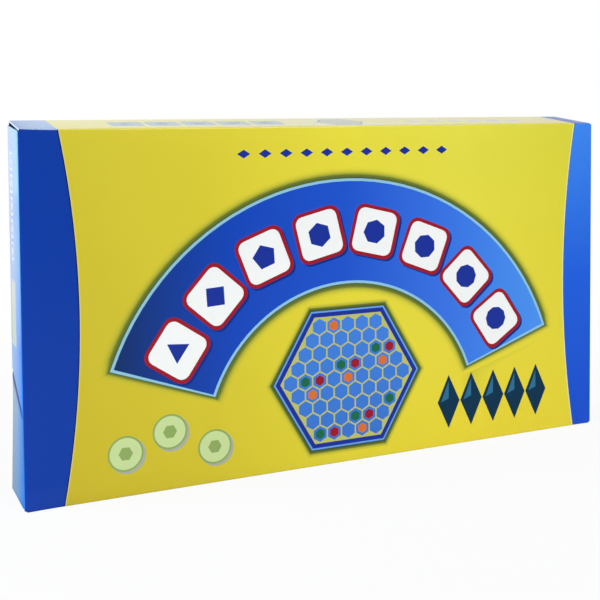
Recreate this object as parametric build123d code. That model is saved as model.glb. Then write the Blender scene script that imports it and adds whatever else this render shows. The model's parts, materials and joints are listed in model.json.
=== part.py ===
"""Word board game in a flat card box that stands on its long narrow side.

X runs along the box, Y from the lid's front (-Y) to the tray's back, Z up.
The origin is the middle of the face that the box stands on. Lengths are millimetres.
"""
import math
import os

from build123d import *

# Box outside
box_width = 370.0
box_height = 203.0
box_depth = 41.0

# Lid: one folded blank of printed card
lid_card = 0.8
lid_wall_depth = 40.0
lid_fold_radius = 0.5
lid_splay = 4.4
flap_seam_front = 53.0
flap_seam_back = 69.0
flap_slit = 1.0
flap_rise = 2.6
tab_flare = 2.1
lid_lower_tab = 92.0
lid_upper_tab = 80.0

# Tray: one folded blank of plain card
tray_card = 0.8
lid_to_tray = 0.5
tray_rim_to_lid = 0.5
tray_tab = 60.0

# Playing board: two halves and a cloth hinge
board_length = 350.0
board_half_height = 175.0
board_thickness = 2.2
board_fold_gap = 0.6
board_edge_gap = 0.3
hinge_cloth_width = 12.0
hinge_cloth_thickness = 0.2

# Rules leaflet: one sheet folded once
leaflet_width = 200.0
leaflet_height = 140.0
leaflet_leaf = 0.35
leaflet_gap = 0.4

# Insert: thin formed tray
insert_wall = 0.8
insert_to_tray = 0.4
rack_pocket_depth = 20.0
pocket_margin = 6.0
finger_well_width = 32.0
finger_well_height = 46.0
well_above_racks = 12.0

# Racks
rack_length = 170.0
rack_base_depth = 24.0
rack_tall = 17.5
rack_wall = 2.0
rack_ledge_depth = 8.5
rack_lip_height = 4.0
rack_ledge_height = 2.4
rack_top_width = 3.0
rack_slot_count = 3
rack_slot_length = 44.0
rack_slot_width = 3.0
rack_slot_pitch = 53.0
rack_slot_tab = 5.0

# Tiles
tile_size = 19.0
tile_thickness = 4.5
tile_bevel = 0.5
tile_gap = 0.4
tile_columns = 10
tile_rows = 5

# Clearance of a piece to the one that it lies on or against
rest_gap = 0.3
pocket_gap = 0.5

# Levels along Y, from the lid's inner face to the tray's inner face
lid_inner = -box_depth / 2 + lid_card
tray_back_inner = box_depth / 2 - tray_card
board_front = lid_inner + rest_gap
fold_plane = board_front + board_thickness + board_fold_gap / 2
board_back = board_front + 2 * board_thickness + board_fold_gap
leaflet_front = board_back + rest_gap
leaflet_depth = 2 * leaflet_leaf + leaflet_gap
insert_front = leaflet_front + leaflet_depth + rest_gap
insert_back = tray_back_inner - rest_gap
tile_back_layer = tile_thickness + rest_gap
tile_well_depth = 2 * tile_back_layer + pocket_gap

# Sizes across, from the lid inwards
tray_width = box_width - 4 * lid_card - 2 * lid_to_tray
tray_height = box_height - 2 * lid_card - 2 * lid_to_tray
tray_bottom = lid_card + lid_to_tray
tray_inner_width = tray_width - 4 * tray_card
tray_inner_height = tray_height - 2 * tray_card
tray_inner_bottom = tray_bottom + tray_card
tray_rim = lid_inner + tray_rim_to_lid
insert_width = tray_inner_width - 2 * insert_to_tray
insert_height = tray_inner_height - 2 * insert_to_tray
insert_bottom = tray_inner_bottom + insert_to_tray
board_bottom = tray_inner_bottom + rest_gap
fold_height = board_bottom + board_half_height + board_edge_gap / 2

# Pockets of the insert
rack_pocket_width = rack_length + 2 * pocket_gap
rack_pocket_height = rack_base_depth + 2 * pocket_gap
rack_column_pitch = rack_pocket_width + pocket_margin
rack_row_pitch = rack_pocket_height + pocket_margin
rack_pocket_bottom = insert_bottom + insert_wall + pocket_margin
tile_pitch = tile_size + tile_gap
tile_well_width = tile_columns * tile_pitch - tile_gap + 2 * pocket_gap
tile_well_height = tile_rows * tile_pitch - tile_gap + 2 * pocket_gap
tile_well_bottom = rack_pocket_bottom + 2 * rack_row_pitch + well_above_racks


def block(x_range, y_range, z_range):
    """Rectangular solid between two limits on each axis."""
    corner = (x_range[0], y_range[0], z_range[0])
    size = (x_range[1] - x_range[0], y_range[1] - y_range[0], z_range[1] - z_range[0])
    return Pos(*corner) * Box(*size, align=Align.MIN)


def sheet_on_end(outline, x_low, thickness):
    """Flat piece square to X, from its (y, z) outline."""
    plane = Plane(origin=(x_low, 0, 0), x_dir=(0, 1, 0), z_dir=(1, 0, 0))
    return extrude(plane * make_face(Polyline(*outline, close=True)), thickness)


def free_tab(inner, back):
    """Part of the lower tab that no flap holds in, and the wall at its foot, for the end on the right."""
    near = box_width / 2 - 2 * lid_card
    far = box_width / 2 - lid_card
    middle = (near + far) / 2
    foot = [(near, inner), (far, inner), (far + tab_flare, back), (near + tab_flare, back)]
    head = [(near, inner), (far, inner), (far, back), (near, back)]
    wall = [(near, inner), (middle, inner), (middle + tab_flare, back), (near, back)]
    foot_face, head_face, wall_face = (make_face(Polyline(*outline, close=True)) for outline in (foot, head, wall))
    tab = loft([foot_face, Pos(0, 0, flap_seam_front) * head_face], ruled=True)
    return tab + extrude(wall_face, lid_card)


def lid_end(side):
    """Outer flap over two corner tabs at one end of the lid; side is -1 or 1."""
    front = -box_depth / 2
    back = front + lid_wall_depth
    flap_low = min(side * box_width / 2, side * (box_width / 2 - lid_card))
    tab_low = min(side * (box_width / 2 - lid_card), side * (box_width / 2 - 2 * lid_card))
    flap_top = box_height - flap_slit
    flap_outline = [
        (front + lid_fold_radius, flap_seam_front),
        (back, flap_seam_back),
        (back, flap_top + flap_rise),
        (front + lid_fold_radius, flap_top),
    ]
    flap = sheet_on_end(flap_outline, flap_low, lid_card)
    inner = front + lid_card
    lower_outline = [
        (inner, flap_seam_front),
        (back, flap_seam_front),
        (back, lid_lower_tab),
        (inner, lid_lower_tab),
    ]
    upper_low = box_height - lid_upper_tab
    top_at_inner = box_height + lid_splay * lid_card / lid_wall_depth
    upper_outline = [(inner, upper_low), (back, upper_low), (back, box_height + lid_splay), (inner, top_at_inner)]
    lower_tab = sheet_on_end(lower_outline, tab_low, lid_card)
    upper_tab = sheet_on_end(upper_outline, tab_low, lid_card)
    foot = free_tab(inner, back)
    if side < 0:
        foot = mirror(foot, about=Plane.YZ)
    return flap + lower_tab + upper_tab + foot


def fold_rounded(outline):
    """Flat face in (y, z) with its corners at the two outer long folds rounded."""
    face = Face(Wire(Polyline(*outline, close=True)))
    front = -box_depth / 2
    folds = [
        vertex
        for vertex in face.vertices()
        if abs(vertex.X - front) < 0.01 and min(abs(vertex.Y), abs(vertex.Y - box_height)) < 0.01
    ]
    return face.fillet_2d(min(lid_fold_radius, lid_card * 0.9), folds)


def extrude_along_box(face, half_length):
    """Solid of a (y, z) face, the same length to each side of the middle."""
    plane = Plane(origin=(-half_length, 0, 0), x_dir=(0, 1, 0), z_dir=(1, 0, 0))
    return extrude(plane * face, 2 * half_length)


def make_lid():
    half = box_width / 2
    front = -box_depth / 2
    back = front + lid_wall_depth
    inner = front + lid_card
    folded_walls = [
        (front, 0),
        (back, 0),
        (back, lid_card),
        (inner, lid_card),
        (inner, box_height - lid_card),
        (back, box_height + lid_splay - lid_card),
        (back, box_height + lid_splay),
        (front, box_height),
    ]
    front_panel = [(front, 0), (inner, 0), (inner, box_height), (front, box_height)]
    lid = extrude_along_box(fold_rounded(folded_walls), half - lid_card)
    lid += extrude_along_box(fold_rounded(front_panel), half)
    return lid + lid_end(-1) + lid_end(1)


def make_tray():
    half = tray_width / 2
    top = tray_bottom + tray_height
    back = box_depth / 2
    walls = (tray_rim, back)
    tray = block((-half, half), (back - tray_card, back), (tray_bottom, top))
    tray += block((-half, half), walls, (tray_bottom, tray_bottom + tray_card))
    tray += block((-half, half), walls, (top - tray_card, top))
    for side in (-1, 1):
        end = sorted((side * half, side * (half - tray_card)))
        tab = sorted((side * (half - tray_card), side * (half - 2 * tray_card)))
        tray += block(end, walls, (tray_bottom, top))
        tray += block(tab, walls, (tray_bottom, tray_bottom + tray_tab))
        tray += block(tab, walls, (top - tray_tab, top))
    return tray


def make_board_half(front):
    half = board_length / 2
    return block((-half, half), (front, front + board_thickness), (board_bottom, board_bottom + board_half_height))


def make_hinge_leaf(board_face, direction):
    """Cloth strip along the fold on a half's playing face; direction is the face's way along Y."""
    half = board_length / 2
    top = board_bottom + board_half_height
    depth = sorted((board_face, board_face + direction * hinge_cloth_thickness))
    return block((-half, half), depth, (top - hinge_cloth_width, top))


def make_leaflet():
    half = leaflet_width / 2
    low = tray_inner_bottom + rest_gap
    span = (low, low + leaflet_height)
    front_leaf = block((-half, half), (leaflet_front, leaflet_front + leaflet_leaf), span)
    back_start = leaflet_front + leaflet_leaf + leaflet_gap
    back_leaf = block((-half, half), (back_start, back_start + leaflet_leaf), span)
    fold = block((-half, -half + leaflet_leaf), (leaflet_front, leaflet_front + leaflet_depth), span)
    return front_leaf + back_leaf + fold


def pocket(x_range, z_range, depth):
    """Open pocket behind the insert's face: its outside and the space inside it."""
    floor = insert_front + depth
    outside = block(
        (x_range[0] - insert_wall, x_range[1] + insert_wall),
        (insert_front, floor + insert_wall),
        (z_range[0] - insert_wall, z_range[1] + insert_wall),
    )
    inside = block(x_range, (insert_front - 1, floor), z_range)
    return outside, inside


def rack_pocket_corner(index):
    """Low x and low z of the pocket of rack 0 to 3, two in a row."""
    column = index % 2
    row = index // 2
    x_middle = (column - 0.5) * rack_column_pitch
    return x_middle - rack_pocket_width / 2, rack_pocket_bottom + row * rack_row_pitch


def insert_pockets():
    pockets = []
    for index in range(4):
        x_low, z_low = rack_pocket_corner(index)
        x_range = (x_low, x_low + rack_pocket_width)
        z_range = (z_low, z_low + rack_pocket_height)
        pockets.append(pocket(x_range, z_range, rack_pocket_depth))
    well_half = tile_well_width / 2
    well_span = (tile_well_bottom, tile_well_bottom + tile_well_height)
    pockets.append(pocket((-well_half, well_half), well_span, tile_well_depth))
    finger_half = well_half + finger_well_width
    middle = tile_well_bottom + tile_well_height / 2
    finger_span = (middle - finger_well_height / 2, middle + finger_well_height / 2)
    pockets.append(pocket((-finger_half, finger_half), finger_span, tile_well_depth))
    return pockets


def make_insert():
    half = insert_width / 2
    top = insert_bottom + insert_height
    insert = block((-half, half), (insert_front, insert_back), (insert_bottom, top))
    insert -= block(
        (-half + insert_wall, half - insert_wall),
        (insert_front + insert_wall, insert_back + 1),
        (insert_bottom + insert_wall, top - insert_wall),
    )
    pockets = insert_pockets()
    for outside, _ in pockets:
        insert += outside
    for _, inside in pockets:
        insert -= inside
    return insert


def rack_profile(base_y):
    """Cross-section of a rack lying base first in its pocket: height along -Y, depth along Z."""
    slope_foot = rack_ledge_depth
    slope_top = rack_base_depth - rack_wall - rack_top_width
    heights = [
        (0, 0),
        (0, rack_lip_height),
        (rack_wall, rack_lip_height),
        (rack_wall, rack_ledge_height),
        (slope_foot, rack_ledge_height),
        (slope_top, rack_tall),
        (slope_top + rack_top_width, rack_tall),
        (rack_base_depth, 0),
        (rack_base_depth - rack_wall, 0),
        (slope_top + rack_top_width - rack_wall, rack_tall - rack_wall),
        (slope_top + 0.3 * rack_wall, rack_tall - rack_wall),
        (slope_foot + rack_wall, 0),
    ]
    return [(base_y - height, depth) for depth, height in heights]


def make_rack(index):
    x_low, z_low = rack_pocket_corner(index)
    base_y = insert_front + rack_pocket_depth - rest_gap
    x_low += pocket_gap
    z_low += pocket_gap
    outline = [(y, z_low + z) for y, z in rack_profile(base_y)]
    rack = sheet_on_end(outline, x_low, rack_length)
    slope_foot = rack_ledge_depth
    slope_top = rack_base_depth - rack_wall - rack_top_width
    slot_z = z_low + (slope_foot + slope_top) / 2
    slot_range = (slot_z - rack_slot_width / 2, slot_z + rack_slot_width / 2)
    slope_middle = base_y - (rack_ledge_height + rack_tall) / 2
    through = (slope_middle - 2 * rack_wall, slope_middle + 2 * rack_wall)
    for slot in range(rack_slot_count):
        middle = x_low + rack_length / 2 + (slot - (rack_slot_count - 1) / 2) * rack_slot_pitch
        for side in (-1, 1):
            near = middle + side * rack_slot_tab / 2
            far = middle + side * rack_slot_length / 2
            rack -= block(sorted((near, far)), through, slot_range)
    return rack


def make_tile(column, row, layer_front):
    x_low = (column - (tile_columns - 1) / 2) * tile_pitch - tile_size / 2
    z_low = tile_well_bottom + pocket_gap + row * tile_pitch
    tile = block(
        (x_low, x_low + tile_size),
        (layer_front, layer_front + tile_thickness),
        (z_low, z_low + tile_size),
    )
    return chamfer(tile.faces().sort_by(Axis.Y)[0].edges(), tile_bevel)


def make_tile_row(row, layer_front):
    return Compound(children=[make_tile(column, row, layer_front) for column in range(tile_columns)])


def tile_layer_front(layer):
    """Front face of the tiles of layer 0, nearest the lid, or layer 1, on the well's floor."""
    floor = insert_front + tile_well_depth
    return floor - (2 - layer) * tile_back_layer


def make_parts():
    parts = {
        "lid": make_lid(),
        "tray": make_tray(),
        "insert": make_insert(),
        "rules_leaflet": make_leaflet(),
        "board_front_half": make_board_half(board_front),
        "board_back_half": make_board_half(board_back - board_thickness),
        "hinge_cloth_front_leaf": make_hinge_leaf(board_front + board_thickness, 1),
        "hinge_cloth_back_leaf": make_hinge_leaf(board_back - board_thickness, -1),
    }
    for index in range(4):
        parts[f"rack_{index + 1}"] = make_rack(index)
    for layer, name in enumerate(("front", "back")):
        for row in range(tile_rows):
            parts[f"tiles_{name}_row_{row + 1}"] = make_tile_row(row, tile_layer_front(layer))
    return parts


os.makedirs("parts", exist_ok=True)
for node, shape in make_parts().items():
    export_step(shape, f"parts/{node}.step")
print(f"fold axis at y {fold_plane:.3f}, z {fold_height:.3f}")
print(f"half a turn of the board sweeps {math.pi * board_half_height:.1f}")
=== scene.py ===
"""Looks of a word board game in its flat card box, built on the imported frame."""
import json
import math

import bmesh
import bpy
from mathutils import Matrix, Vector
from mathutils.geometry import delaunay_2d_cdt

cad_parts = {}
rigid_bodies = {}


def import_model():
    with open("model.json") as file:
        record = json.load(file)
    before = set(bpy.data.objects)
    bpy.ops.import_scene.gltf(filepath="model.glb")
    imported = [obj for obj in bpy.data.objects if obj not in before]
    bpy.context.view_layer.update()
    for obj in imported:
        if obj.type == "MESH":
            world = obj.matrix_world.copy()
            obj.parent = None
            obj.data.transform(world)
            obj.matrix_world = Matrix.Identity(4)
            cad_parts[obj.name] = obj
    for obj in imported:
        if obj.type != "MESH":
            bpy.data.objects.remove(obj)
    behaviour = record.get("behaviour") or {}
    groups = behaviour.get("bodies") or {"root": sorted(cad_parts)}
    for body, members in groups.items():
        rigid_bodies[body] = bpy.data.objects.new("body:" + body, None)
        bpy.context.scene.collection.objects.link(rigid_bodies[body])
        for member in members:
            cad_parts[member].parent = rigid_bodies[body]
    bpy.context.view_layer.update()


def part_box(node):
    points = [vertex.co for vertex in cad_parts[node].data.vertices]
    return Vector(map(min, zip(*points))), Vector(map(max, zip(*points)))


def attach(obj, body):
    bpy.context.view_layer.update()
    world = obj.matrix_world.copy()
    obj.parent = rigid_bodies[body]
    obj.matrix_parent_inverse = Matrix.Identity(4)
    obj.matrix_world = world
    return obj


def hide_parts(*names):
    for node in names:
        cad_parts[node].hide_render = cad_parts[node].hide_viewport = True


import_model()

MM = 0.001

# Tolerances, and a place on every sheet's panel, in millimetres
same_place = 0.001
cut_tolerance = 0.0001
sharp_angle = math.radians(40)
on_panel = (1.0, 100.0)

# Folded card, in millimetres
fold_radius = 0.8
fold_arc = fold_radius * math.pi / 2
end_radius = 1.0
end_arc = end_radius * math.pi / 2
fold_steps = 6
card = 0.75
lid_splay = 4.4
lid_flap_rise = 2.6
lid_overhang = 1.3
lid_seam_front = 53.0
lid_seam_back = 69.0
lid_tabs = (92.0, 80.0)
tray_tabs = (60.0, 60.0)
tab_clearance = 0.15
tab_slack = 0.05
tab_bulge = 0.7
bulge_back = 5.0
bulge_drop = 3.0
bulge_cuts = (20.0, 36.0)
# Painted shade on the lower tabs under the end flaps' slanted edges: its two strips' widths, and how far it
# reaches up under the flaps
seam_shade_widths = (7.6, 5.4)
seam_shade_cover = 3.0
# Where the painted shade on the cut edges of the ends starts, across
slit_start = 183.0

# Print on the lid, in millimetres from the box's middle and foot
lid_front = -20.5
lid_back = 19.5
front_height = 203.0
ground_reach = 165.0
past_sides = 330.0
past_bottom = -60.0
past_top = 263.0
band_cuts = 24
# Where the painted highlight on the left band's top fold starts, across
fold_highlight_start = -182.0

# Each side band's edge: its innermost place across and up, its bow, and half the height that the bow is for
left_band = (-155.1, 100.7, -9.5, 101.0)
right_band = (161.9, 100.3, 8.7, 102.0)
# The band's lines from the lowest layer up, each with its distance past that edge
left_steps = (("left_line", 1.0), ("dark_line", 0.5), ("left_blue", -0.1))
right_steps = (("right_line", -0.7), ("dark_line", 0.0), ("right_blue", 0.3))

# Motifs on the lid
arch_centre = Vector((4.0, 20.0))
arch_radii = (90.0, 150.0)
arch_end = math.radians(20)
arch_trim = 1.6
arch_tiles = 8
arch_tile_size = 31.0
arch_tile_end = math.radians(29)
arch_tile_lean = math.radians(5)
hive_centre = Vector((4.0, 51.5))
hive_radius = 48.0
hive_rings = 4
hive_margin = 5.0
hive_outer_cell = 0.62
hive_cell = 0.52
hive_accent = 0.34
hive_corner_reach = 1.15
shadow_width = 9.0
shadow_rings = (3.0, 4.5, 6.0, 7.5)
hive_shadow_rings = (1.2, 2.4)
wall_print_back = 18.0
end_print_back = 27.0
end_gloss_rise = (85.0, 135.0)

# Playing board
board_cells = 14
board_cell = 21.5
board_line = 1.2
cloth_width = 12.0
cloth_margin = 1.0
thread_pitch = 0.5

# Contents, with the roughness and relief of their plastics
formed_skin = (0.38, 0.03)
rack_skin = (0.24, 0.01)
tile_skin = (0.35, 0.02)
bar_pitch = 6.0
bar_share = 0.3
column_middle = 46.0
column_half = 34.0
edge_round = 0.36
same_vertex = 1e-6
flat_angle = 0.01
rack_count = 4
tile_rows = 5
tile_count = 10
tile_corner = 1.4
least_corner = 0.4
# A tile's outlines from its back to the groove in its face, each as an inset and a distance behind the face
tile_steps = (
    (0.35, 4.5), (0.0, 4.15), (0.0, 0.5), (0.15, 0.15), (0.5, 0.0),
    (2.0, 0.0), (2.25, 0.2), (2.75, 0.2), (3.0, 0.0),
)

# The photograph's camera, in metres and degrees, and the light around it
camera_place = Vector((-0.2576, -0.5849, 0.2106))
camera_yaw = math.radians(25.029)
camera_pitch = math.radians(-2.582)
camera_roll = math.radians(-0.291)
camera_lens = 62.522
camera_shift = (-0.0833, -0.2333)
sensor_width = 36.0
world_light = 0.36
floor_reach = 6.0
floor_drop = 0.0002


def linear(value):
    """One sRGB channel, 0 to 1, as linear light."""
    return value / 12.92 if value <= 0.04045 else ((value + 0.055) / 1.055) ** 2.4


def colour(code):
    """A colour from its six hex digits."""
    channels = (int(code[i:i + 2], 16) / 255 for i in (0, 2, 4))
    return (*(linear(c) for c in channels), 1.0)


class Nodes:
    """Short names for the nodes of one tree."""

    def __init__(self, tree, coordinates):
        self.tree = tree
        self.place = self.add("TexCoord").outputs[coordinates]

    def add(self, kind, **inputs):
        node = self.tree.nodes.new("ShaderNode" + kind)
        for key, value in inputs.items():
            self.put(node.inputs[key.replace("_", " ")], value)
        return node

    def put(self, socket, value):
        if isinstance(value, bpy.types.NodeSocket):
            self.tree.links.new(value, socket)
        else:
            socket.default_value = value

    def axis(self, name):
        return self.add("SeparateXYZ", Vector=self.place).outputs[name]

    def math(self, operation, first, second=0.0):
        node = self.add("Math")
        node.operation = operation
        self.put(node.inputs[0], first)
        self.put(node.inputs[1], second)
        return node.outputs[0]

    def spread(self, value, low, high, to_low=0.0, to_high=1.0):
        """A value moved from one range to another, kept inside it."""
        node = self.add("MapRange", Value=value)
        node.inputs["From Min"].default_value = low
        node.inputs["From Max"].default_value = high
        node.inputs["To Min"].default_value = to_low
        node.inputs["To Max"].default_value = to_high
        return node.outputs["Result"]


class Surface(Nodes):
    """The nodes of one material."""

    def __init__(self, name):
        self.material = bpy.data.materials.new(name)
        self.material.use_nodes = True
        super().__init__(self.material.node_tree, "Object")
        self.shader = self.tree.nodes["Principled BSDF"]

    def noise(self, size, detail=2.0):
        """Noise with features of a size in millimetres."""
        return self.add("TexNoise", Vector=self.place, Scale=1 / (size * MM), Detail=detail).outputs["Fac"]

    def blend(self, factor, first, second, how="MIX"):
        node = self.add("Mix")
        node.data_type = "RGBA"
        node.blend_type = how
        self.put(node.inputs[0], factor)
        self.put(node.inputs[6], first)
        self.put(node.inputs[7], second)
        return node.outputs[2]

    def ramp(self, value, codes):
        node = self.add("ValToRGB", Fac=value)
        stops = node.color_ramp.elements
        for index, code in enumerate(codes):
            position = index / (len(codes) - 1)
            stop = stops[index] if index < 2 else stops.new(position)
            stop.position = position
            stop.color = colour(code)
        return node.outputs["Color"]

    def mottled(self, base, size, amount):
        """A colour that is lighter and darker in patches."""
        level = self.spread(self.noise(size), 0.3, 0.7, 1 - amount, 1 + amount)
        grey = self.add("CombineColor", Red=level, Green=level, Blue=level).outputs["Color"]
        return self.blend(1.0, base, grey, "MULTIPLY")

    def bump(self, height, distance):
        """Relief with a height in millimetres, on the shader's normal."""
        node = self.add("Bump", Height=height, Distance=distance * MM)
        self.put(self.shader.inputs["Normal"], node.outputs["Normal"])

    def fibres(self):
        """Relief of uncoated card."""
        self.bump(self.noise(0.6, 4.0), 0.03)

    def coated(self, base, specular=0.5):
        """Gloss print on card that is almost flat."""
        self.bump(self.noise(60, 0.0), 0.04)
        self.put(self.shader.inputs["IOR"], 1.32)
        rough = self.spread(self.noise(8), 0.3, 0.7, 0.15, 0.2)
        return self.finish(self.mottled(base, 60, 0.01), rough, specular)

    def finish(self, base, roughness, specular=0.5):
        self.put(self.shader.inputs["Base Color"], base)
        self.put(self.shader.inputs["Roughness"], roughness)
        self.put(self.shader.inputs["Specular IOR Level"], specular)
        return self.material


def ink(name, *codes, along=None, specular=0.5):
    """Coated print in one colour, or in a blend of colours along (axis, low, high) in millimetres."""
    n = Surface(name)
    base = colour(codes[0])
    if along:
        axis, low, high = along
        base = n.ramp(n.spread(n.axis(axis), low * MM, high * MM), codes)
    return n.coated(base, specular)


def end_ink(name, lower_codes, upper_codes):
    """Coated print on the lid's ends, glossier upwards and towards the open side, its blues paler and greyer
    towards the open side and upwards as painted glare over the print's blue.
    """
    n = Surface(name)
    back = n.spread(n.axis("Y"), lid_front * MM, lid_back * MM)
    up = n.spread(n.axis("Z"), *(z * MM for z in end_gloss_rise))
    gloss = n.math("MULTIPLY", n.spread(back, 0.0, 1.0, 0.25, 0.6), n.spread(up, 0.0, 1.0, 0.15, 1.0))
    return n.coated(n.blend(up, n.ramp(back, lower_codes), n.ramp(back, upper_codes)), gloss)


def cut_card(name, code, slit_edge_shade_code):
    """Cut edges of the card: grey, and dark blue at the ends as painted shade in their slits."""
    n = Surface(name)
    at_end = n.math("GREATER_THAN", n.math("ABSOLUTE", n.axis("X")), slit_start * MM)
    n.fibres()
    return n.finish(n.blend(at_end, colour(code), colour(slit_edge_shade_code)), 0.85, specular=0.2)


def shaded_ink(name, upper_codes, lower_codes, shade_codes):
    """Coated print in a blend of colours with a printed soft shadow, which is the mesh's shade attribute."""
    n = Surface(name)
    across = n.spread(n.axis("X"), -ground_reach * MM, ground_reach * MM)
    up = n.spread(n.axis("Z"), 0.0, front_height * MM)
    base = n.blend(up, n.ramp(across, lower_codes), n.ramp(across, upper_codes))
    shade = n.add("Attribute")
    shade.attribute_name = "shade"
    dark = n.ramp(shade.outputs["Fac"], shade_codes)
    return n.coated(n.blend(n.spread(shade.outputs["Fac"], 0.0, 0.35), base, dark))


def bare_card(name, code, specular=0.2):
    """Uncoated side of the card, with short fibres."""
    n = Surface(name)
    n.fibres()
    return n.finish(n.mottled(colour(code), 1.5, 0.05), 0.85, specular)


def plastic(name, code, roughness, relief):
    """Moulded plastic with a faint orange-peel skin."""
    n = Surface(name)
    n.bump(n.noise(1.2, 3.0), relief)
    rough = n.spread(n.noise(3), 0.3, 0.7, roughness, roughness + 0.1)
    return n.finish(n.mottled(colour(code), 12, 0.03), rough)


def book_cloth(name, code):
    """Fine plain weave, darker where its relief is low: painted shade in the weave's hollows."""
    n = Surface(name)
    threads = []
    for axis in ("X", "Z"):
        turns = n.math("MULTIPLY", n.axis(axis), math.tau / (thread_pitch * MM))
        threads.append(n.math("SINE", turns))
    weave = n.math("MULTIPLY", *threads)
    n.bump(weave, 0.04)
    # Painted shade: the cloth's colour darkens to 70% in the weave's hollows.
    dark = tuple(c * 0.7 for c in colour(code)[:3]) + (1.0,)
    return n.finish(n.blend(n.spread(weave, -1, 1), dark, colour(code)), 0.8, specular=0.2)


def ruled_paper(name):
    """White paper with rows of pale grey bars where a text would be."""
    n = Surface(name)
    row = n.math("FRACT", n.math("DIVIDE", n.axis("Z"), bar_pitch * MM))
    bar = n.math("LESS_THAN", row, bar_share)
    off_column = n.math("SUBTRACT", n.math("ABSOLUTE", n.axis("X")), column_middle * MM)
    inside = n.math("LESS_THAN", n.math("ABSOLUTE", off_column), column_half * MM)
    mask = n.math("MULTIPLY", bar, inside)
    paper = n.mottled(colour("F1EFE6"), 2, 0.03)
    n.bump(n.noise(1.0, 4.0), 0.02)
    return n.finish(n.blend(mask, paper, colour("8C93A3")), 0.8, specular=0.2)


def regular(centre, radius, sides, turn=0.0):
    """Corners of a regular polygon, or of a disc when it has many sides."""
    return [
        (centre[0] + radius * math.cos(turn + math.tau * i / sides),
         centre[1] + radius * math.sin(turn + math.tau * i / sides))
        for i in range(sides)
    ]


def rounded_square(centre, size, corner, turn=0.0, steps=4):
    """Outline of a square with round corners, turned about its middle."""
    points = []
    inset = size / 2 - corner
    for quarter in range(4):
        start = quarter * math.pi / 2
        across = Vector((inset, inset)) @ Matrix.Rotation(-start, 2)
        for step in range(steps + 1):
            angle = start + step * math.pi / 2 / steps
            local = across + corner * Vector((math.cos(angle), math.sin(angle)))
            points.append(tuple(Vector(centre) + Matrix.Rotation(turn, 2) @ local))
    return points


def rectangle(low, high):
    return [low, (high[0], low[1]), high, (low[0], high[1])]


def mirrored(outline):
    """The outline on the other side of the middle, still counterclockwise."""
    return [(-s, t) for s, t in reversed(outline)]


def lozenge(centre, width, height):
    x, z = centre
    return [(x + width / 2, z), (x, z + height / 2), (x - width / 2, z), (x, z - height / 2)]


def arch(grow, steps=40):
    """Outline of the wide arch, grown on all sides."""
    inner, outer = arch_radii[0] - grow, arch_radii[1] + grow
    end = arch_end - grow / arch_radii[1]
    angles = [end + (math.pi - 2 * end) * i / steps for i in range(steps + 1)]
    up = [tuple(arch_centre + outer * Vector((math.cos(a), math.sin(a)))) for a in angles]
    down = [tuple(arch_centre + inner * Vector((math.cos(a), math.sin(a)))) for a in reversed(angles)]
    return up + down


def band_edge(band, z):
    """Where a side band ends on the front panel, at a height."""
    middle, middle_z, bow, half_height = band
    return middle + bow * ((z - middle_z) / half_height) ** 2


def printed_shade(s, t):
    """How deep the printed soft shadow is at a place on the lid's front, 0 to 1."""
    place = Vector((s, t)) - arch_centre
    angle = abs(math.atan2(place.x, place.y))
    past_end = max(0.0, angle - (math.pi / 2 - arch_end)) * place.length
    off_arch = math.hypot(max(0.0, place.length - arch_radii[1], arch_radii[0] - place.length), past_end)
    corner = Vector((s, t)) - hive_centre
    turns = [math.radians(30 + 60 * i) for i in range(6)]
    reach = max(corner.x * math.cos(a) + corner.y * math.sin(a) for a in turns)
    off_hive = max(0.0, reach - hive_radius * math.cos(math.pi / 6))
    depth = max(1 - off_arch / shadow_width, 1 - off_hive / (shadow_width / 2), 0.0)
    return depth * depth


def turned(run, depth, radius=fold_radius):
    """How far back and on a sheet has gone, a run past the start of a fold and a depth inside its card."""
    inner = radius - depth
    angle = min(run / radius, math.pi / 2)
    straight = run - radius * angle
    return radius - inner * math.cos(angle) + straight, inner * math.sin(angle)


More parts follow.
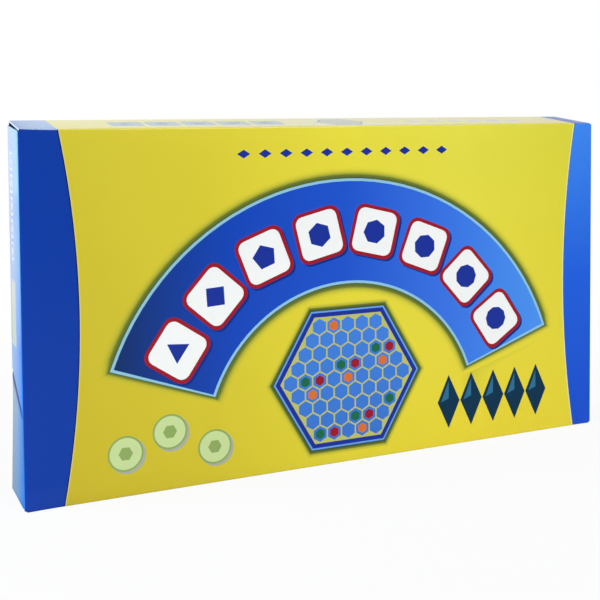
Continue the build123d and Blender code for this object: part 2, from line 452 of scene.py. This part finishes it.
class Carton:
    """A folded blank with one panel, two long walls, two end flaps and four corner tabs."""

    def __init__(self, node, opens, seam, tabs, splay=0.0, flap_rise=0.0, overhang=0.0):
        low, high = (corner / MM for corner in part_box(node))
        half = high.x - overhang
        self.opens = opens
        self.panel = low.y if opens > 0 else high.y
        self.reach = high.y - low.y
        self.splay = splay
        self.end_fold = half - end_radius
        self.tab_fold = half - fold_radius - card - tab_slack
        self.flare = overhang + card + tab_slack - tab_bulge if overhang else 0.0
        self.bottom_fold = low.z + fold_radius
        self.top_fold = high.z - splay - fold_radius
        self.seam = seam
        self.tabs = tabs
        self.flap_rise = flap_rise
        self.wall_run = fold_arc + self.reach - fold_radius
        self.tab_start = fold_arc + tab_clearance

    def seam_height(self, back):
        """Height of the end flap's lower edge, some way behind the panel."""
        share = (back - end_radius) / (self.reach - end_radius)
        return self.seam[0] + (self.seam[1] - self.seam[0]) * share

    def bulge(self, back, z):
        """How far a lower tab stands out where no flap holds it in."""
        if not self.flare:
            return 0.0
        behind = max(back - end_radius, 0.0)
        deep = min(behind / bulge_back, 1.0)
        under = min(max((self.seam_height(back) - z) / bulge_drop, 0.0), 1.0)
        share = behind / (self.reach - end_radius) * max(1 - z / self.seam[0], 0.0)
        return tab_bulge * deep * under + self.flare * share

    def on_lower_tab(self, back, z):
        """Where a place on the folded lower tab is on the flat blank."""
        s = self.tab_fold + fold_arc + z - self.bottom_fold
        return s, self.bottom_fold - back + fold_radius - fold_arc

    def at(self, s, t, depth):
        """Where a place on the flat blank is on the folded box, in metres."""
        past_end = abs(s) - self.end_fold
        past_tab = abs(s) - self.tab_fold
        past_wall = max(t - self.top_fold, self.bottom_fold - t)
        upper = t > self.top_fold + same_place
        x, back, z = s, depth, t
        if past_wall > same_place:
            back, on = turned(past_wall, depth)
            if past_tab > 0:
                drop, out = turned(past_tab, depth)
                on = fold_radius - drop
                x = math.copysign(self.tab_fold + out, s)
            z = self.top_fold + on if upper else self.bottom_fold - on
            if not upper:
                x += math.copysign(self.bulge(back, z) * min(abs(s) / self.tab_fold, 1.0), s)
        elif past_end > 0:
            back, on = turned(past_end, depth, end_radius)
            x = math.copysign(self.end_fold + on, s)
        if upper:
            z += self.splay * back / self.reach
        elif past_end > 0:
            z += self.flap_rise * back / self.reach * max(0.0, 1 - (self.top_fold - t) / self.seam[1])
        return Vector((x, self.panel + self.opens * back, z)) * MM

    def outline(self):
        """The blank's outline, counterclockwise."""
        end = self.end_fold + end_arc
        flap = end + self.reach - end_radius
        lower, upper = (self.tab_fold + fold_arc + tab - fold_radius for tab in self.tabs)
        bottom, top = self.bottom_fold - self.wall_run, self.top_fold + self.wall_run
        lower_start, upper_start = self.bottom_fold - self.tab_start, self.top_fold + self.tab_start
        right = [
            (lower, bottom), (lower, lower_start), (self.tab_fold, lower_start),
            (self.tab_fold, self.bottom_fold), (end, self.bottom_fold), (end, self.seam[0]),
            (flap, self.seam[1]), (flap, self.top_fold), (self.tab_fold, self.top_fold),
            (self.tab_fold, upper_start), (upper, upper_start), (upper, top),
        ]
        right = [p for i, p in enumerate(right) if i == 0 or p != right[i - 1]]
        return right + mirrored(right)

    def lines(self):
        """Cuts across the blank that let it bend at its folds."""
        cuts = []
        bottom, top = self.bottom_fold - self.wall_run, self.top_fold + self.wall_run
        for step in range(fold_steps + 1):
            run = fold_arc * step / fold_steps
            for t in (self.top_fold + run, self.bottom_fold - run):
                cuts.append(((-self.tab_fold, t), (self.tab_fold, t)))
            for side in (-1, 1):
                s = side * (self.end_fold + end_arc * step / fold_steps)
                cuts.append(((s, self.bottom_fold), (s, self.top_fold)))
                s = side * (self.tab_fold + run)
                cuts.append(((s, bottom), (s, self.bottom_fold - self.tab_start)))
                cuts.append(((s, self.top_fold + self.tab_start), (s, top)))
        tab_lines = []
        for back in (end_radius + bulge_back, self.reach / 2):
            tab_lines.append([(back, self.bottom_fold), (back, self.tabs[0] - 1.0)])
        for drop in (0.0, bulge_drop / 2, bulge_drop, *bulge_cuts):
            tab_lines.append([(back, self.seam_height(back) - drop) for back in (end_radius, self.reach)])
        for line in tab_lines:
            flat = [self.on_lower_tab(back, z) for back, z in line]
            cuts += [flat, mirrored(flat)]
        return cuts

    def bends(self, s, t):
        """Whether a place on the blank is on a fold."""
        past_wall = max(t - self.top_fold, self.bottom_fold - t)
        if past_wall > same_place:
            return past_wall < fold_arc or abs(s) > self.tab_fold
        return 0 < abs(s) - self.end_fold < end_arc


class Board:
    """A flat sheet square to Y, printed on the face that looks along -Y or +Y."""

    def __init__(self, node, faces):
        self.low, self.high = (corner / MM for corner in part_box(node))
        self.faces = faces

    def at(self, s, t, depth):
        face = self.low.y if self.faces < 0 else self.high.y
        return Vector((s, face - self.faces * depth, t)) * MM

    def outline(self):
        return rectangle((self.low.x, self.low.z), (self.high.x, self.high.z))

    def lines(self):
        return []

    def bends(self, s, t):
        return False


def cut_flat(sheet, layers, lines):
    """A flat sheet cut along its print and folds: places, and triangles with the number of their layer."""
    corners, faces, edges = [], [], []
    for _, outline in [(None, sheet.outline()), *layers]:
        faces.append(list(range(len(corners), len(corners) + len(outline))))
        corners += outline
    for line in [*sheet.lines(), *lines]:
        edges += [(len(corners) + i, len(corners) + i + 1) for i in range(len(line) - 1)]
        corners += line
    flat = delaunay_2d_cdt([Vector(p) for p in corners], edges, faces, 1, cut_tolerance)
    places, triangles, covers = flat[0], flat[2], flat[5]
    return places, [(face, max(cover)) for face, cover in zip(triangles, covers) if 0 in cover]


def printed(name, sheet, thickness, layers, inks, lines=(), shade=None):
    """Closed mesh of a sheet whose outer face carries its print, later layers on top."""
    places, kept = cut_flat(sheet, layers, lines)
    used = sorted({corner for face, _ in kept for corner in face})
    number = {corner: i for i, corner in enumerate(used)}
    count = len(used)
    outer = [tuple(number[c] for c in face) for face, _ in kept]
    sides = {}
    for face in outer:
        for a, b in zip(face, face[1:] + face[:1]):
            sides[a, b] = True
    rim = [(b, a, a + count, b + count) for a, b in sides if (b, a) not in sides]
    points = [sheet.at(*places[c], 0.0) for c in used] + [sheet.at(*places[c], thickness) for c in used]
    inner = [tuple(c + count for c in reversed(face)) for face in outer]
    mesh = bpy.data.meshes.new(name)
    mesh.from_pydata(points, [], outer + inner + rim)
    names = list(inks)
    for ink_name in names:
        mesh.materials.append(inks[ink_name])
    layer_ink = [names[0]] + [layer[0] for layer in layers]
    slots = [names.index(layer_ink[cover]) for _, cover in kept]
    slots += [names.index("inside")] * len(inner) + [names.index("edge")] * len(rim)
    mesh.polygons.foreach_set("material_index", slots)
    middles = [sum((places[c] for c in face), Vector((0, 0))) / 3 for face, _ in kept]
    smooth = [sheet.bends(*middle) for middle in middles]
    mesh.polygons.foreach_set("use_smooth", smooth * 2 + [False] * len(rim))
    mesh.set_sharp_from_angle(angle=sharp_angle)
    if shade:
        values = [shade(*places[c]) for c in used]
        mesh.attributes.new("shade", "FLOAT", "POINT").data.foreach_set("value", values * 2)
    if sheet.at(*on_panel, 0.0).y > sheet.at(*on_panel, thickness).y:
        mesh.flip_normals()
    piece = bpy.data.objects.new(name, mesh)
    bpy.context.collection.objects.link(piece)
    return piece


def lid_inks():
    return {
        # Darker towards the left and the bottom, and a little at the right: painted shade in place of the
        # key lamp's falloff across the front.
        "yellow": shaded_ink(
            "lid_yellow",
            upper_codes=("D3C438", "DCCD3A", "E9DC40", "E7DF4B", "DDD641"),
            lower_codes=("C7B32B", "D3C130", "E4D436", "EAD638", "E9D639"),
            shade_codes=("A8AE39", "6E7C30", "4E5F2B", "35431F"),
        ),
        "left_blue": ink("lid_left_band", "103CA1"),
        # Lighter towards the top: partly the print's gradient, partly painted light from the lamp above.
        "right_blue": ink("lid_right_band", "1850CE", "2060DC", "3F89F2", along=("Z", 0, front_height)),
        "left_line": ink("lid_left_line", "D6C98A"),
        "right_line": ink("lid_right_line", "E4E9D2"),
        "dark_line": ink("lid_dark_line", "0A1848"),
        "arch": ink("lid_arch", "152F60", "1646B8", "2054CC", "3A74E4", "4C94F0", along=("X", -140, 145)),
        "arch_trim": ink("lid_arch_trim", "8FC4DE"),
        "arch_shade": ink("lid_tile_shadow", "0D2F86"),
        "white": ink("lid_white", "F4F5F4"),
        "red": ink("lid_red", "9E1B2A"),
        "navy": ink("lid_navy", "1D3399"),
        "light_blue": ink("lid_light_blue", "66A0EA"),
        "cell_line": ink("lid_cell_line", "BDBF68"),
        "cell": ink("lid_cell", "3A72CC", "4384E0", along=("Z", 0, 100)),
        "orange": ink("lid_orange", "D9722E"),
        "green": ink("lid_green", "1E6B4A"),
        "pale_green": ink("lid_pale_green", "C7DA9A"),
        "pale_green_rim": ink("lid_pale_green_rim", "8FA860"),
        "teal": ink("lid_teal", "0F3550"),
        "teal_light": ink("lid_teal_light", "2F6F95"),
        "grey": ink("lid_grey", "A9AEA0"),
        # Paler and greyer towards the open side and upwards: painted glare over the ends' blue print.
        "end_blue": end_ink(
            "lid_end_blue", ("1470DA", "417BBC", "5C86BA"), ("3C8CC8", "5C84BE", "6E86BA"),
        ),
        "tab_blue": end_ink("lid_tab_blue", ("0A66BD", "3878B0", "5E7B8F"), ("1A6EC0", "507CA0")),
        # Darker blues with little gloss on the lower tabs under the flaps' edges: painted shade.
        "seam_soft_shade": end_ink("lid_seam_soft", ("2468B4", "46689C"), ("2468B4", "46689C")),
        "seam_shade": ink(
            "lid_seam_shade", "184A9C", "143C6E", "24406A", along=("Y", -20, 19), specular=0.02,
        ),
        "wall_tile": ink("lid_wall_tile", "7A94A0"),
        "wall_mark": ink("lid_wall_mark", "3C6296"),
        "wall_hive": ink("lid_wall_hive", "94967E"),
        "wall_lilac": ink("lid_wall_lilac", "A6A2BA"),
        "end_pale": ink("lid_end_pale", "AEB8C0"),
        "end_patch": ink("lid_end_patch", "899A6F", "97A09A", along=("Z", 84, 110)),
        # Pale blue: painted highlight on the rounded folds at the top of the left band and of the upper
        # tabs.
        "fold_highlight": ink("lid_worn_fold", "9DB0DE"),
        # The upper wall's blues and yellow are paler and greyer than the front's: painted glare where the
        # wall is seen at a grazing angle, over the print's colours. Its right band has almost no gloss and
        # carries that glare in its colour alone.
        "wall_left": ink(
            "lid_wall_left", "0C4AA6", "3C78B4", "5E86BA", "6E90C4", "7494C8", along=("X", -185, -167),
        ),
        "wall_right": ink("lid_wall_right", "3F65B3", specular=0.02),
        "wall_yellow": ink(
            "lid_wall_yellow", "D0C56C", "C8BE64", "C6BF88", "C8BD54", "C9BA30", along=("X", -150, 160),
        ),
        # Near-black on the upper tabs' outer faces: painted shade for the dark slits between the end flaps
        # and the upper wall.
        "slit_shade_tab": bare_card("lid_glued_tab", "04050E", specular=0.02),
        "inside": bare_card("lid_inside", "8A857B"),
        # Grey cut edges, dark blue at the ends: painted shade in the slits.
        "edge": cut_card("lid_edge", "66625C", "1D2F5C"),
    }


def tile_motif(layers, centre, size, turn, sides):
    """A blank tile with a red outline and one plain polygon on it."""
    drop = Vector((size, -size)) * 0.04
    layers.append(("arch_shade", rounded_square(Vector(centre) + drop, size, size * 0.2, turn)))
    layers.append(("red", rounded_square(centre, size, size * 0.2, turn)))
    layers.append(("white", rounded_square(centre, size * 0.86, size * 0.15, turn)))
    layers.append(("navy", regular(centre, size * 0.24, sides, turn + math.pi / 2)))


def arch_motif(layers):
    """The wide arch with its pale rim and a row of tiles that lean to and fro."""
    layers.append(("arch_trim", arch(arch_trim)))
    layers.append(("arch", arch(0.0)))
    middle = sum(arch_radii) / 2
    for i in range(arch_tiles):
        angle = math.pi - arch_tile_end - (math.pi - 2 * arch_tile_end) * i / (arch_tiles - 1)
        centre = arch_centre + middle * Vector((math.cos(angle), math.sin(angle)))
        lean = arch_tile_lean if i % 2 else -arch_tile_lean
        tile_motif(layers, centre, arch_tile_size, angle - math.pi / 2 + lean, 3 + i)


def hive_motif(layers):
    """A honeycomb of small cells in a six-sided frame."""
    for ink_name, inset in (("light_blue", 0.0), ("navy", 1.2), ("cell_line", 4.2)):
        layers.append((ink_name, regular(hive_centre, hive_radius - inset, 6)))
    pitch = (hive_radius - hive_margin) / (hive_rings + hive_outer_cell)
    accents = {0: "orange", 2: "green", 5: "red"}
    for q in range(-hive_rings, hive_rings + 1):
        for r in range(max(-hive_rings, -hive_rings - q), min(hive_rings, hive_rings - q) + 1):
            centre = hive_centre + pitch * Vector((q + r / 2, r * math.sqrt(0.75)))
            layers.append(("cell", regular(centre, pitch * hive_cell, 6, math.pi / 6)))
            accent = accents.get((q * 3 + r * 5) % 11)
            if accent:
                layers.append((accent, regular(centre, pitch * hive_accent, 6, math.pi / 6)))


def counter_motif(layers, centre, radius=10.0):
    """A round counter with a rim, a hexagon in its middle and a grey shadow to the lower right."""
    x, z = centre
    layers.append(("grey", regular((x + 1.2, z - 1.2), radius + 0.2, 28)))
    layers.append(("pale_green_rim", regular(centre, radius, 28)))
    layers.append(("pale_green", regular(centre, radius - 1.1, 28)))
    layers.append(("pale_green_rim", regular(centre, radius * 0.4, 6)))


def front_motifs(layers):
    """All motifs on the front panel."""
    arch_motif(layers)
    hive_motif(layers)
    for i in range(11):
        layers.append(("navy", lozenge((-61.0 + 13.0 * i, 187.5), width=8.0, height=5.0)))
    for centre in ((-131.0, 24.0), (-106.0, 33.0), (-80.0, 21.0)):
        counter_motif(layers, centre)
    for i in range(5):
        x, z = 74.0 + 16.5 * i, 28.0
        layers.append(("teal", lozenge((x, z), width=16.0, height=34.0)))
        layers.append(("teal_light", [(x, z + 13.0), (x - 5.6, z), (x, z + 2.0)]))


def wall_motifs(layers, middle):
    """A row of pale tiles, a hexagon and a row of lozenges on the upper wall."""
    for i in range(5):
        centre = (-124.0 + 21.0 * i, middle)
        layers.append(("wall_tile", rounded_square(centre, size=19.0, corner=3.0)))
        layers.append(("wall_mark", regular(centre, radius=4.6, sides=3 + i, turn=math.pi / 2)))
    for ink_name, radius in (("wall_mark", 16.0), ("wall_hive", 14.5)):
        layers.append((ink_name, regular((8.0, middle), radius, sides=6)))
    for i in range(6):
        layers.append(("wall_lilac", lozenge((59.0 + 15.0 * i, middle), width=13.0, height=10.0)))


def end_motifs(layers, middle):
    """A column of small outlined squares and a pale patch on an end."""
    for i in range(5):
        centre = (middle, 184.0 - 12.0 * i)
        layers.append(("end_pale", rounded_square(centre, size=10.0, corner=2.0)))
        layers.append(("end_blue", rounded_square(centre, size=7.4, corner=1.2)))
        layers.append(("end_pale", regular(centre, radius=2.4, sides=3 + i, turn=math.pi / 2)))
    layers.append(("end_patch", rectangle((middle - 8.0, 84.0), (middle + 8.0, 120.0))))


def side_bands(layers):
    """The blue bands at both sides, each with two thin lines along its curved edge."""
    heights = [past_bottom] + [front_height * i / band_cuts for i in range(band_cuts + 1)] + [past_top]
    for band, steps in ((left_band, left_steps), (right_band, right_steps)):
        for ink_name, past in steps:
            curve = [(band_edge(band, min(max(z, 0.0), front_height)) + past, z) for z in heights]
            if band == left_band:
                layers.append((ink_name, curve + [(-past_sides, past_top), (-past_sides, past_bottom)]))
            else:
                layers.append((ink_name, [(past_sides, past_bottom), (past_sides, past_top)] + curve[::-1]))


def wall_ground(layers, wall):
    """The upper wall's colours, from its fold's middle up, paler and greyer than the front's as painted
    glare, with a painted highlight line on the fold in the left band.
    """
    left, right = (band_edge(band, front_height) for band in (left_band, right_band))
    layers.append(("wall_left", rectangle((-past_sides, wall), (left, past_top))))
    layers.append(("fold_highlight", rectangle((fold_highlight_start, wall - fold_arc / 4), (left, wall + fold_arc / 4))))
    layers.append(("wall_yellow", rectangle((left, wall), (right, past_top))))
    layers.append(("wall_right", rectangle((right, wall), (past_sides, past_top))))


def both_ends(layers, ink_name, outline):
    """Adds a layer on the right side of the blank and its mirror image on the left."""
    layers += [(ink_name, outline), (ink_name, mirrored(outline))]


def lid_layers(lid):
    """The lid's print, from the lowest layer up."""
    layers = []
    side_bands(layers)
    wall_ground(layers, lid.top_fold + fold_arc / 2)
    front_motifs(layers)
    wall_motifs(layers, lid.top_fold + fold_arc + wall_print_back)
    tab = lid.tab_fold + fold_arc
    upper, lower = lid.top_fold + fold_arc, lid.bottom_fold - fold_arc
    # Painted highlight on the upper tabs' folds.
    both_ends(layers, "fold_highlight", rectangle((lid.tab_fold + fold_arc / 3, upper), (tab, past_top)))
    # The upper tabs' outer faces are near-black: painted shade in the slits above the end flaps.
    both_ends(layers, "slit_shade_tab", rectangle((tab, upper), (past_sides, past_top)))
    end = lid.end_fold + end_arc / 2
    both_ends(layers, "end_blue", rectangle((end, lid.bottom_fold), (past_sides, lid.top_fold)))
    both_ends(layers, "tab_blue", rectangle((tab, past_bottom), (past_sides, lower)))
    # Painted shade on the lower tabs just under each end flap's slanted edge, a soft wide strip and a darker
    # narrower one.
    for ink_name, width in zip(("seam_soft_shade", "seam_shade"), seam_shade_widths):
        corners = rectangle((end_radius, -width), (lid.reach, seam_shade_cover))
        shade = [lid.on_lower_tab(back, lid.seam_height(back) + up) for back, up in corners]
        both_ends(layers, ink_name, shade)
    for side in (-1, 1):
        end_motifs(layers, side * (lid.end_fold + end_arc + end_print_back))
    return layers


def shadow_cuts():
    """Closed lines around the arch and the honeycomb, along which the soft shadow fades."""
    rings = [arch(grow) for grow in (arch_trim, *shadow_rings, shadow_width)]
    for grow in (*hive_shadow_rings, shadow_width / 2):
        rings.append(regular(hive_centre, hive_radius + grow * hive_corner_reach, 6))
    return [ring + ring[:1] for ring in rings]


def make_lid():
    lid = Carton("lid", 1, (lid_seam_front, lid_seam_back), lid_tabs, lid_splay, lid_flap_rise, lid_overhang)
    piece = printed("lid_folded_card", lid, card, lid_layers(lid), lid_inks(), shadow_cuts(), printed_shade)
    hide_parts("lid")
    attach(piece, "lid")


def tray_layers():
    """A pale panel with a yellow rim and two columns of bars in place of a text."""
    layers = [
        ("yellow", rectangle((-150.0, 14.0), (150.0, 189.0))),
        ("pale", rectangle((-147.0, 17.0), (147.0, 186.0))),
    ]
    for left in (-136.0, 6.0):
        for row in range(9):
            width = 130.0 if row % 4 else 92.0
            bottom = 36.0 + 15.0 * row
            layers.append(("navy", rectangle((left, bottom), (left + width, bottom + 3.0))))
    return layers


def make_tray():
    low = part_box("tray")[0].z / MM + fold_radius
    tray = Carton("tray", -1, (low, low), tray_tabs)
    inks = {
        "blue": ink("tray_blue", "1B46B4"),
        "pale": ink("tray_pale_panel", "DCE6F2"),
        "yellow": ink("tray_yellow", "E6D93C"),
        "navy": ink("tray_navy", "1D3399"),
        "inside": bare_card("tray_inside", "D5D1C7"),
        "edge": bare_card("tray_edge", "E4E1D8"),
    }
    piece = printed("tray_folded_card", tray, card, tray_layers(), inks)
    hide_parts("tray")
    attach(piece, "tray")


def board_layers(cloth):
    """Cells of one half of the playing board, in rows down from the middle of the cloth."""
    half_width = board_cells * board_cell / 2
    rows = board_cells // 2
    top = cloth - cloth_width - cloth_margin
    frame_low = (-half_width - board_line, top - rows * board_cell - board_line)
    layers = [("line", rectangle(frame_low, (half_width + board_line, top + board_line)))]
    accents = {0: "red", 4: "green", 8: "orange"}
    for row in range(rows):
        for column in range(board_cells):
            shade = accents.get((column * 2 + row * 5) % 13, "cell")
            centre = ((column + 0.5) * board_cell - half_width, top - (row + 0.5) * board_cell)
            layers.append((shade, rounded_square(centre, board_cell - board_line, corner=1.0, steps=2)))
    return layers


def make_board():
    inks = {
        "field": ink("board_navy", "1D3C8E"),
        "line": ink("board_line", "C3C56C"),
        "cell": ink("board_cell", "3D78D1"),
        "red": ink("board_red", "B23A3A"),
        "green": ink("board_green", "2E7A58"),
        "orange": ink("board_orange", "DB8A3C"),
        "inside": bare_card("board_back", "1C2F5C"),
        "edge": bare_card("board_edge", "8E8A80"),
    }
    for node, faces, body in (("board_front_half", 1, "board_front"), ("board_back_half", -1, "board_back")):
        half = Board(node, faces)
        thickness = half.high.y - half.low.y
        piece = printed(node + "_printed", half, thickness, board_layers(half.high.z), inks)
        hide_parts(node)
        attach(piece, body)


def dress(prefix, material):
    """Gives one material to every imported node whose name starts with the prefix."""
    for obj in bpy.data.objects:
        if obj.type == "MESH" and obj.name.startswith(prefix):
            obj.data.materials.clear()
            obj.data.materials.append(material)


def shaped(name, shape, material, node, body):
    """Piece of its own from a closed shape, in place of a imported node."""
    bmesh.ops.recalc_face_normals(shape, faces=shape.faces)
    mesh = bpy.data.meshes.new(name)
    shape.to_mesh(mesh)
    shape.free()
    mesh.materials.append(material)
    mesh.polygons.foreach_set("use_smooth", [True] * len(mesh.polygons))
    mesh.set_sharp_from_angle(angle=sharp_angle)
    piece = bpy.data.objects.new(name, mesh)
    bpy.context.collection.objects.link(piece)
    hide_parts(node)
    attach(piece, body)


def softened(node, body, material):
    """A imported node's shape with its sharp edges rounded."""
    shape = bmesh.new()
    shape.from_mesh(bpy.data.objects[node].data)
    bmesh.ops.remove_doubles(shape, verts=shape.verts, dist=same_vertex)
    bmesh.ops.dissolve_limit(shape, angle_limit=flat_angle, verts=shape.verts, edges=shape.edges)
    sharp = [edge for edge in shape.edges if edge.calc_face_angle() > sharp_angle / 2]
    bmesh.ops.bevel(
        shape, geom=sharp, offset=edge_round * MM, segments=3, profile=0.5, affect="EDGES",
        clamp_overlap=True,
    )
    shaped(node + "_softened", shape, material, node, body)


def tile_row(node, body, material):
    """Row of tiles with round corners and a shallow groove around a bare face."""
    low, high = (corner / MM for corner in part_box(node))
    size = high.z - low.z
    pitch = (high.x - low.x - size) / (tile_count - 1)
    shape = bmesh.new()
    for i in range(tile_count):
        centre = (low.x + size / 2 + pitch * i, low.z + size / 2)
        rings = []
        for inset, back in tile_steps:
            outline = rounded_square(centre, size - 2 * inset, max(tile_corner - inset, least_corner))
            rings.append([shape.verts.new(Vector((x, low.y + back, z)) * MM) for x, z in outline])
        shape.faces.new(rings[0])
        shape.faces.new(rings[-1])
        for ring, following in zip(rings, rings[1:]):
            for j in range(len(ring)):
                shape.faces.new((ring[j - 1], ring[j], following[j], following[j - 1]))
    shaped(node + "_moulded", shape, material, node, body)


def make_contents():
    softened("insert", "insert", plastic("insert_formed_sheet", "E4E2DA", *formed_skin))
    rack = plastic("rack_moulded", "14506E", *rack_skin)
    for i in range(1, rack_count + 1):
        softened(f"rack_{i}", f"rack_{i}", rack)
    tile = plastic("tile_moulded", "C9D7A4", *tile_skin)
    for layer in ("front", "back"):
        for row in range(1, tile_rows + 1):
            tile_row(f"tiles_{layer}_row_{row}", f"tiles_{layer}", tile)
    dress("rules_leaflet", ruled_paper("leaflet_paper"))
    dress("hinge_cloth", book_cloth("hinge_book_cloth", "1A3470"))


def make_camera():
    ahead = Vector((
        math.sin(camera_yaw) * math.cos(camera_pitch),
        math.cos(camera_yaw) * math.cos(camera_pitch),
        math.sin(camera_pitch),
    ))
    right = ahead.cross(Vector((0, 0, 1))).normalized()
    up = right.cross(ahead)
    rolled_right = right * math.cos(camera_roll) + up * math.sin(camera_roll)
    rolled_up = up * math.cos(camera_roll) - right * math.sin(camera_roll)
    turn = Matrix((rolled_right, rolled_up, -ahead)).transposed()
    data = bpy.data.cameras.new("camera")
    data.lens = camera_lens
    data.sensor_width = sensor_width
    data.shift_x, data.shift_y = camera_shift
    camera = bpy.data.objects.new("camera", data)
    camera.matrix_world = Matrix.Translation(camera_place) @ turn.to_4x4()
    bpy.context.collection.objects.link(camera)
    bpy.context.scene.camera = camera


def lamp(name, place, aim, size, power, tint=(1.0, 1.0, 1.0)):
    """Rectangular lamp that the camera doesn't see, with its size in metres and its power in watts."""
    data = bpy.data.lights.new(name, "AREA")
    data.shape = "RECTANGLE"
    data.size, data.size_y = size
    data.energy = power
    data.color = tint
    light = bpy.data.objects.new(name, data)
    light.location = place
    light.rotation_euler = (Vector(aim) - Vector(place)).to_track_quat("-Z", "Y").to_euler()
    light.visible_camera = False
    bpy.context.collection.objects.link(light)


def make_lights():
    left_end = (-0.185, 0, 0.1)
    lamp("key", (0.8, -2.4, 1.4), (0.05, 0, 0.1), size=(0.9, 0.9), power=43)
    lamp("edge", (-0.785, 1.365, 0.3), left_end, size=(0.8, 0.5), power=0.9, tint=(0.7, 0.92, 1.0))
    lamp("left", (-1.3, 0.0, 0.8), left_end, size=(0.9, 0.7), power=24, tint=(0.85, 0.96, 1.0))
    lamp("top", (0.0, 0.4, 1.5), (0, 0, 0.1), size=(1.2, 0.8), power=0.6)


def make_world():
    """White to the camera and to reflections from behind the object, with soft light for the rest."""
    world = bpy.data.worlds.new("studio")
    world.use_nodes = True
    bpy.context.scene.world = world
    n = Nodes(world.node_tree, "Generated")
    behind = n.spread(n.axis("Y"), -0.5, 0.1, 0.06, 1.0)
    path = n.add("LightPath").outputs
    glossy = n.math("MAXIMUM", path["Is Glossy Ray"], path["Is Transmission Ray"])
    soft = n.math("MULTIPLY", n.math("SUBTRACT", 1.0, glossy), world_light)
    strength = n.math("MAXIMUM", n.math("MULTIPLY", glossy, behind), soft)
    background = n.tree.nodes["Background"]
    n.put(background.inputs["Strength"], n.math("MAXIMUM", strength, path["Is Camera Ray"]))
    n.put(background.inputs["Color"], (1.0, 1.0, 1.0, 1.0))


def make_floor():
    """Pale floor that turns to the white of the background away from the object."""
    mesh = bpy.data.meshes.new("floor")
    square = rectangle((-floor_reach, -floor_reach), (floor_reach, floor_reach))
    mesh.from_pydata([(x, y, -floor_drop) for x, y in square], [], [(0, 1, 2, 3)])
    floor = bpy.data.objects.new("floor", mesh)
    bpy.context.collection.objects.link(floor)
    n = Surface("floor_paper")
    path = n.add("LightPath").outputs
    near = n.spread(n.axis("Y"), -1.0, -0.4, 0.15, 1.0)
    front = n.spread(n.axis("Y"), -0.06, 0.0, 0.75, 0.0)
    kept = n.math("SUBTRACT", 1.0, n.math("MULTIPLY", front, path["Is Glossy Ray"]))
    pale = n.blend(n.math("MULTIPLY", near, kept), (0.0, 0.0, 0.0, 1.0), colour("D2D2D2"))
    n.finish(pale, 0.9, specular=0.1)
    away = n.add("VectorMath", Vector=n.place)
    away.operation = "LENGTH"
    fade = n.spread(away.outputs["Value"], 0.2, 0.6, 0.92, 1.0)
    glossy = n.math("MULTIPLY", n.spread(n.axis("Y"), 0.0, 0.2), path["Is Glossy Ray"])
    seen = n.math("MULTIPLY", fade, n.math("MAXIMUM", path["Is Camera Ray"], glossy))
    mix = n.add("MixShader")
    white = n.add("Emission", Strength=1.0)
    for socket, value in zip(mix.inputs, (seen, n.shader.outputs[0], white.outputs[0])):
        n.put(socket, value)
    n.put(n.tree.nodes["Material Output"].inputs["Surface"], mix.outputs[0])
    mesh.materials.append(n.material)


make_camera()
make_lid()
make_tray()
make_board()
make_contents()
make_lights()
make_world()
make_floor()

bpy.context.scene.view_settings.view_transform = "Standard"
